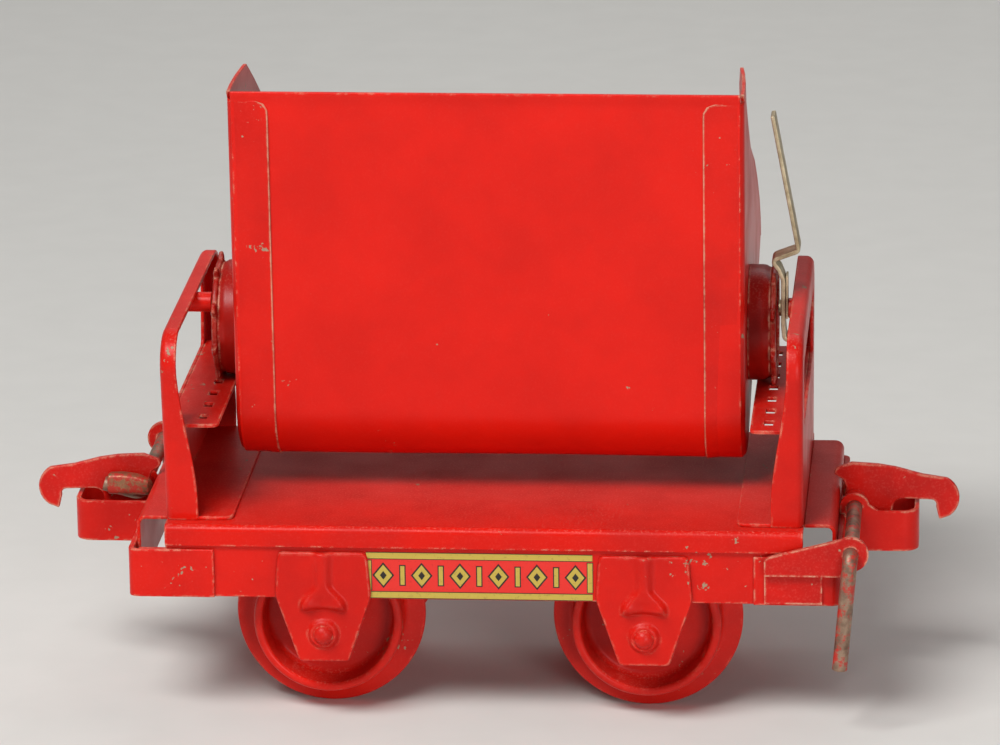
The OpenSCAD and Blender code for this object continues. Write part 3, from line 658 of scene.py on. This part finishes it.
def bare_strip(name, light, dark, painted):
    """Bare mild steel gone tan with age: a dull metal, streaked and lightly pitted,
    with red overspray where painted is above 0."""
    made, tree, shader = material(name)
    place = add(tree, "ShaderNodeTexCoord").outputs["Object"]
    tarnish = add(tree, "ShaderNodeTexNoise", inputs={
        "Vector": place, "Scale": 1 / (6 * MM), "Detail": 6, "Roughness": 0.7})
    tone = add(tree, "ShaderNodeMapRange", {}, {
        "Value": tarnish.outputs["Fac"], "From Min": 0.35, "From Max": 0.65})
    steel = add(tree, "ShaderNodeMix", {"data_type": "RGBA"}, {
        0: tone.outputs[0], 6: srgb(light), 7: srgb(dark)})
    mist = add(tree, "ShaderNodeTexNoise", inputs={
        "Vector": place, "Scale": 1 / (4 * MM), "Detail": 5, "Roughness": 0.8})
    sprayed = add(tree, "ShaderNodeMapRange", {}, {
        "Value": mist.outputs["Fac"], "From Min": 0.68 - 0.3 * painted,
        "From Max": 0.76 - 0.3 * painted})
    skin = add(tree, "ShaderNodeMix", {"data_type": "RGBA"}, {
        0: sprayed.outputs[0], 6: steel.outputs[2], 7: srgb("#B0281A")})
    tree.links.new(skin.outputs[2], shader.inputs["Base Color"])
    metal = add(tree, "ShaderNodeMath", {"operation": "MULTIPLY_ADD"}, {
        0: sprayed.outputs[0], 1: -0.75, 2: 0.75})
    tree.links.new(metal.outputs[0], shader.inputs["Metallic"])
    rough = add(tree, "ShaderNodeMapRange", {}, {
        "Value": tarnish.outputs["Fac"], "To Min": 0.36, "To Max": 0.6})
    tree.links.new(rough.outputs[0], shader.inputs["Roughness"])
    bump = add(tree, "ShaderNodeBump", inputs={
        "Strength": 0.35, "Distance": 0.08 * MM, "Height": mist.outputs["Fac"]})
    tree.links.new(bump.outputs[0], shader.inputs["Normal"])
    return made


rod_steel = bare_strip("mild_steel_oversprayed", "#A8907A", "#6E5244", 0.62)
strip_steel = bare_strip("mild_steel_bare", "#D2C4A4", "#988769", 0.0)
dress(["lift_rod_left", "lift_rod_right"], rod_steel, 0.25)


# The inner end of each lift rod is hammered flat against its hook, and its paint is worn thin
tail_steel = bare_strip("mild_steel_hammered", "#B08A66", "#6F4C38", 0.8)
PIVOT_X, PIVOT_Z = 97.1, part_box("sleeve_left")[0][2] / MM + 3
TAIL_Y = 2.95  # how far a tail's middle lies from the car's middle plane, mm
TAIL = [  # distance from the pivot, centre's rise, half thickness and half height
    (-3.6, 1.4, 0.9, 1.3), (-2.6, 1.9, 1.9, 2.1), (0.5, 2.5, 2.15, 2.7), (4.5, 2.8, 2.2, 2.95),
    (7.8, 2.7, 2.1, 2.9), (8.5, 2.65, 1.9, 2.6)]
TAIL_SIDES = 24
for end, sign in (("left", -1), ("right", 1)):
    points = []
    for along, rise, thick, high in TAIL:
        for i in range(TAIL_SIDES):
            c, d = math.cos(2 * math.pi * i / TAIL_SIDES), math.sin(2 * math.pi * i / TAIL_SIDES)
            out = (abs(c) ** 4 + abs(d) ** 4) ** -0.25
            points.append((sign * (PIVOT_X + along), sign * (TAIL_Y + thick * c * out),
                           PIVOT_Z + rise + high * d * out))
    skin = [tuple(range(TAIL_SIDES))[::-1],
            tuple((len(TAIL) - 1) * TAIL_SIDES + i for i in range(TAIL_SIDES))]
    for ring in range(len(TAIL) - 1):
        for i in range(TAIL_SIDES):
            j = (i + 1) % TAIL_SIDES
            skin.append((ring * TAIL_SIDES + i, ring * TAIL_SIDES + j,
                         (ring + 1) * TAIL_SIDES + j, (ring + 1) * TAIL_SIDES + i))
    tail = piece_of(f"rod_tail_{end}", points, skin, [tail_steel], f"coupler_{end}", smooth=True)
    soften(tail, 0.25)


# ---- Hopper ----
# A trough folded from one sheet, hemmed along its two long edges, with an end
# plate at each end whose flange is wrapped over the sheet and pinched tight.
TIP, LEAN = math.radians(32), math.radians(34)
axis = Vector((8.7127, 97.0))
SIDE_DIST, SIDE_RISE, BOTTOM_DROP = 27.2, 71.4, 20.0  # from the drum's axis, mm
bottom_r = SIDE_DIST - BOTTOM_DROP * math.sin(LEAN)


def tipped(p):
    """Puts a (y, z) point of the upright hopper where it lies with the hopper tipped."""
    return Vector((axis.x + p[0] * math.cos(TIP) + p[1] * math.sin(TIP),
                   axis.y - p[0] * math.sin(TIP) + p[1] * math.cos(TIP)))


def trough(out, short, straight=16, curve=28):
    """Path and outward normals round the trough, out mm outside its sheet."""
    path, way = [], []
    side_way = Vector((math.cos(LEAN), -math.sin(LEAN)))
    along = Vector((math.sin(LEAN), math.cos(LEAN)))
    foot = Vector((0, -BOTTOM_DROP)) + (bottom_r + out) * side_way
    head = (SIDE_DIST + out) * side_way + (SIDE_RISE - short) * along
    for k in range(straight):
        path.append(head.lerp(foot, (k / straight) ** 1.6))
        way.append(side_way)
    for k in range(curve + 1):
        a = -LEAN - (math.pi - 2 * LEAN) * k / curve
        way.append(Vector((math.cos(a), math.sin(a))))
        path.append(Vector((0, -BOTTOM_DROP)) + (bottom_r + out) * way[-1])
    for k in reversed(range(straight)):
        point = head.lerp(foot, (k / straight) ** 1.6)
        path.append(Vector((-point.x, point.y)))
        way.append(Vector((-side_way.x, side_way.y)))
    return path, way


sheet_low, sheet_high = (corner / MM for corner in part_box("hopper_sheet"))
SHEET_STEPS = 48


def swell(x, from_top):
    """How far the sheet stands out: the hem along its edge and the waves of hand work."""
    hem = 0.4 * (1 - smooth_step(1.2, 2.6, from_top))
    wave = 0.12 * math.sin(x / 17 + 0.6) * math.sin(from_top / 19)
    return hem + wave * smooth_step(0, 20, from_top)


path, way = trough(0, 0, straight=26)
points, skin = [], []
for i in range(SHEET_STEPS + 1):
    x = sheet_low[0] + (sheet_high[0] - sheet_low[0]) * i / SHEET_STEPS
    for p, w in zip(path, way):
        y, z = tipped(p + w * swell(x, min((p - path[0]).length, (p - path[-1]).length)))
        points.append((x, y, z))
for i in range(SHEET_STEPS):
    for k in range(len(path) - 1):
        a, b = i * len(path) + k, (i + 1) * len(path) + k
        skin.append((a, a + 1, b + 1, b))
trough_sheet = piece_of("hopper_trough", points, skin, [panel_enamel], "hopper", smooth=True)
thick = trough_sheet.modifiers.new("sheet", "SOLIDIFY")
thick.thickness, thick.offset = 1.0 * MM, -1
soften(trough_sheet, 0.3)
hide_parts("hopper_sheet")

WRAP, WRAP_R, FOLD, WRAP_SHORT, PEAK_EDGE = 10.9, 3.2, 2.2, 2.5, 27.0
flange_path, flange_way = trough(1.02, WRAP_SHORT, straight=18)


def wrap_width(i):
    """The flange keeps one width, but its free corners are cut round."""
    from_end = min((flange_path[i] - flange_path[0]).length,
                   (flange_path[i] - flange_path[-1]).length)
    return WRAP - WRAP_R + math.sqrt(WRAP_R ** 2 - (WRAP_R - min(from_end, WRAP_R)) ** 2)


top_y = (SIDE_DIST + 1) * math.cos(LEAN) + SIDE_RISE * math.sin(LEAN)
top_z = -(SIDE_DIST + 1) * math.sin(LEAN) + SIDE_RISE * math.cos(LEAN)
peak_y, peak_z = top_y - PEAK_EDGE * math.cos(LEAN), top_z + PEAK_EDGE * math.sin(LEAN)


def peak_bend(y, z):
    """The free top of an end plate has been pushed inward, most in its middle."""
    return (max(z - top_z, 0) / (peak_z - top_z)) ** 1.3 * (1.3 + 1.4 * (1 - (y / 41) ** 2))


levels = []
for share in (0, 0.24, 0.5, 0.76, 1):
    far = top_y + (peak_y - top_y) * share
    levels.append([(y, top_z + (peak_z - top_z) * share)
                   for y in (-far, -28, -14, 0, 14, 28, far)])
end_cells = [[*range(len(flange_path)), *levels[0]]]
for below, above in zip(levels, levels[1:]):
    end_cells += [[below[k], below[k + 1], above[k + 1], above[k]] for k in range(6)]
# the edge of each wrap is rubbed to the primer, and along it lies a dull dark strip of painted
# shadow
rubbed_enamel = baked_enamel("baked_enamel_rubbed_edge", "#CF6A52", "#8E2418", 0.1, 1.6, 2.0)
# painted shadow: a dark matt colour standing in for the shade under each wrap's free edge
painted_shadow, tree, shader = material("painted_shadow")
shader.inputs["Base Color"].default_value = srgb("#3B0F0A")
shader.inputs["Roughness"].default_value = 0.8
plate_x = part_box("hopper_end_right")[1][0] / MM
seam_path, seam_way = trough(0.03, WRAP_SHORT, straight=18)
for end, sign in (("left", -1), ("right", 1)):
    plate = flanged_plate(f"hopper_end_pressing_{end}", flange_path, flange_way, wrap_width,
                          plate_x, FOLD, end_cells, [frame_enamel, rubbed_enamel], "hopper", sign,
                          place=tipped, bend=peak_bend, flare=0.45)
    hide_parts(f"hopper_end_{end}")
    # a thin strip of painted shadow on the sheet, just under and beside the wrap's free edge
    points = []
    for i, (p, w) in enumerate(zip(seam_path, seam_way)):
        from_top = WRAP_SHORT + min((p - seam_path[0]).length, (p - seam_path[-1]).length)
        for x in (plate_x - wrap_width(i) - 0.3, plate_x - wrap_width(i) + 0.5):
            points.append((sign * x, *tipped(p + w * swell(sign * x, from_top))))
    piece_of(f"wrap_painted_shadow_{end}", points, [
        (2 * i, 2 * i + 1, 2 * i + 3, 2 * i + 2)[::sign] for i in range(len(seam_path) - 1)],
        [painted_shadow], "hopper", smooth=True)

# Rockers: a drum with a soft shoulder and a ring of blunt, hand-filed teeth
# the drums wear a darker copy of the enamel as painted shade, with their own chips and rubbing
rocker_enamel_painted_shade = baked_enamel("baked_enamel_rocker_painted_shade", "#A3150C", "#860F08", 0.12, 1.0, 1.8)
DRUM_R, DRUM_X, RING_X, TEETH = 15.6, 74.3, 75.8, 9
DRUM_BORE, CUP_R, RING_R, TOOTH_HIGH = 2.05, 14.6, 12.6, 2.1
ROCKER_RAYS = 360
ROCKER = [  # distance from the car's middle, radius, and share of the teeth's height there
    (plate_x + CLEAR, DRUM_BORE, 0), (plate_x + CLEAR, DRUM_R, 0), (DRUM_X - 2.4, DRUM_R, 0),
    (DRUM_X - 1.5, DRUM_R - 0.15, 0), (DRUM_X - 0.7, DRUM_R - 0.6, 0),
    (DRUM_X - 0.1, DRUM_R - 0.75, 0), (DRUM_X, DRUM_R - 0.4, 0.6),
    (DRUM_X + 0.3, DRUM_R - 0.05, 0.95), (DRUM_X + 0.75, DRUM_R, 1),
    (RING_X - 0.3, DRUM_R - 0.05, 0.95), (RING_X, DRUM_R - 0.4, 0.6), (RING_X, RING_R, 0),
    (DRUM_X, RING_R, 0), (DRUM_X, CUP_R, 0), (plate_x + 1, CUP_R, 0), (plate_x + 1, DRUM_BORE, 0)]
for end, sign in (("left", -1), ("right", 1)):
    points, skin = [], []
    for x, r, share in ROCKER:
        for i in range(ROCKER_RAYS):
            turned = (i + 90) % (360 / TEETH)
            off = min(turned, 360 / TEETH - turned)
            wide = 6.2 + 1.4 * math.sin(i * 0.11)
            out = r + share * TOOTH_HIGH * smooth_step(wide, wide * 0.45, off)
            a = math.radians(i)
            points.append((sign * x, *tipped((out * math.cos(a), out * math.sin(a)))))
    rings = len(ROCKER)
    for ring in range(rings):
        for i in range(ROCKER_RAYS):
            j, above = (i + 1) % ROCKER_RAYS, (ring + 1) % rings
            quad = (ring * ROCKER_RAYS + i, ring * ROCKER_RAYS + j, above * ROCKER_RAYS + j,
                    above * ROCKER_RAYS + i)
            skin.append(quad if sign > 0 else quad[::-1])
    rocker = piece_of(f"rocker_drum_{end}", points, skin, [rocker_enamel_painted_shade], "hopper", smooth=True)
    soften(rocker, 0.12)
    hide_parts(f"rocker_{end}")

dress(["rocker_pin_left", "rocker_pin_right"], strip_steel, 0.4)


# ---- Latch ----
# A strip of bare steel bent to a crank, with a leaf behind it, both held to the
# end frame's stud by one headed pin.
latch_low, latch_high = (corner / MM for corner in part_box("latch_lever"))
stud_z = sum(corner[2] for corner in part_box("stop_stud_right")) / 2 / MM
LATCH_X, LATCH_HALF, LATCH_T = 77.2, 3.5, 1.15  # face, half width and thickness, mm
line = rounded([(LATCH_X - 2.3, latch_high[2]), (LATCH_X + 4.6, stud_z + 16.6),
                (LATCH_X - 2.6, stud_z + 13.9), (LATCH_X - 0.6, stud_z + 11.4),
                (LATCH_X + 0.5, stud_z + 8.6), (LATCH_X + 0.5, stud_z - 4),
                (LATCH_X + 0.9, stud_z - 8.2), (LATCH_X + 3.6, stud_z - 8.0)],
               [0.9, 1.0, 2, 3, 4, 1.8], 5)
points, skin = [], []
for i, p in enumerate(line):
    ahead = line[min(i + 1, len(line) - 1)] - line[max(i - 1, 0)]
    aside = Vector((ahead.y, -ahead.x)).normalized() * LATCH_T / 2
    for half, edge in ((LATCH_HALF, aside), (-LATCH_HALF, aside), (-LATCH_HALF, -aside),
                       (LATCH_HALF, -aside)):
        points.append((p.x + edge.x, half, p.y + edge.y))
for i in range(len(line) - 1):
    for k in range(4):
        a, b = 4 * i + k, 4 * i + (k + 1) % 4
        skin.append((a, a + 4, b + 4, b))
last = 4 * (len(line) - 1)
skin += [(0, 1, 2, 3), (last + 3, last + 2, last + 1, last)]
lever = piece_of("latch_strip", points, skin, [strip_steel], "latch", smooth=True)
soften(lever, 0.22)
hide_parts("latch_lever")
dress(["latch_pin", "latch_spring"], strip_steel, 0.15)
